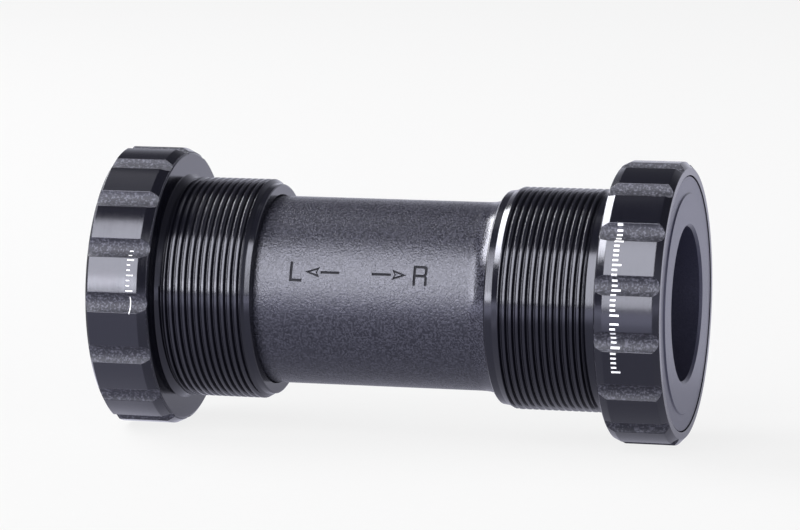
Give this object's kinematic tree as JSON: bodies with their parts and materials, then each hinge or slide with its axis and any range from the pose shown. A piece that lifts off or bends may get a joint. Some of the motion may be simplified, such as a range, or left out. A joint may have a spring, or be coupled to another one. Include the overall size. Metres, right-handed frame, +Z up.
{
  "type": "bottom bracket",
  "caption": "External-cup bicycle bottom bracket: two notched, threaded cups with sealed ball bearings and dust caps, joined by a plastic centre sleeve.",
  "frame": {"origin": "on the spindle axis, midway between the two outer faces", "axes": "+X along the spindle axis towards the right (drive) side, +Z up, +Y to the rear"},
  "size_m": [0.0912, 0.044, 0.044],
  "materials": {
    "cup_anodised": "gloss black anodised",
    "sleeve_plastic": "fine moulded texture",
    "cap_plastic": "satin",
    "bearing_steel": "ground",
    "ball_steel": "polished",
    "cage_nylon": "natural nylon",
    "seal_rubber": "moulded nitrile",
    "mark_paint": "laser-marked white"
  },
  "bodies": {
    "right_cup_and_sleeve": {"right_cup": "cup_anodised", "centre_sleeve": "sleeve_plastic", "right_sleeve_o_ring": "seal_rubber", "right_bearing_outer_ring": "bearing_steel", "right_bearing_outer_seal": "seal_rubber", "right_bearing_inner_seal": "seal_rubber"},
    "right_spindle_sleeve": {"right_bearing_inner_ring": "bearing_steel", "right_dust_cap": "cap_plastic", "right_dust_cap_lip_seal": "seal_rubber"},
    "right_ball_set": {"right_bearing_balls": "ball_steel", "right_bearing_cage": "cage_nylon"},
    "left_sliding_seal": {"left_sleeve_o_ring": "seal_rubber"},
    "left_cup": {"left_cup": "cup_anodised", "left_bearing_outer_ring": "bearing_steel", "left_bearing_outer_seal": "seal_rubber", "left_bearing_inner_seal": "seal_rubber"},
    "left_spindle_sleeve": {"left_bearing_inner_ring": "bearing_steel", "left_dust_cap": "cap_plastic", "left_dust_cap_lip_seal": "seal_rubber"},
    "left_ball_set": {"left_bearing_balls": "ball_steel", "left_bearing_cage": "cage_nylon"}
  },
  "joints": [
    {"name": "left_cup_slide", "type": "slide", "parent": "right_cup_and_sleeve", "child": "left_sliding_seal", "axis": [-1, 0, 0], "range_m": [-0.0026, 0.0024]},
    {"name": "left_cup_turn", "type": "hinge", "parent": "left_sliding_seal", "child": "left_cup", "pos_m": [-0.0234, 0, 0], "axis": [1, 0, 0], "continuous": true},
    {"name": "right_bearing_turn", "type": "hinge", "parent": "right_cup_and_sleeve", "child": "right_spindle_sleeve", "pos_m": [0.0405, 0, 0], "axis": [1, 0, 0], "continuous": true},
    {"name": "right_ball_set_turn", "type": "hinge", "parent": "right_cup_and_sleeve", "child": "right_ball_set", "pos_m": [0.0405, 0, 0], "axis": [1, 0, 0], "continuous": true},
    {"name": "left_bearing_turn", "type": "hinge", "parent": "left_cup", "child": "left_spindle_sleeve", "pos_m": [-0.0405, 0, 0], "axis": [1, 0, 0], "continuous": true},
    {"name": "left_ball_set_turn", "type": "hinge", "parent": "left_cup", "child": "left_ball_set", "pos_m": [-0.0405, 0, 0], "axis": [1, 0, 0], "continuous": true}
  ],
  "couplings": [
    {"joint": "right_ball_set_turn", "follows": "right_bearing_turn", "ratio": 0.44355},
    {"joint": "left_ball_set_turn", "follows": "left_bearing_turn", "ratio": 0.44355}
  ]
}
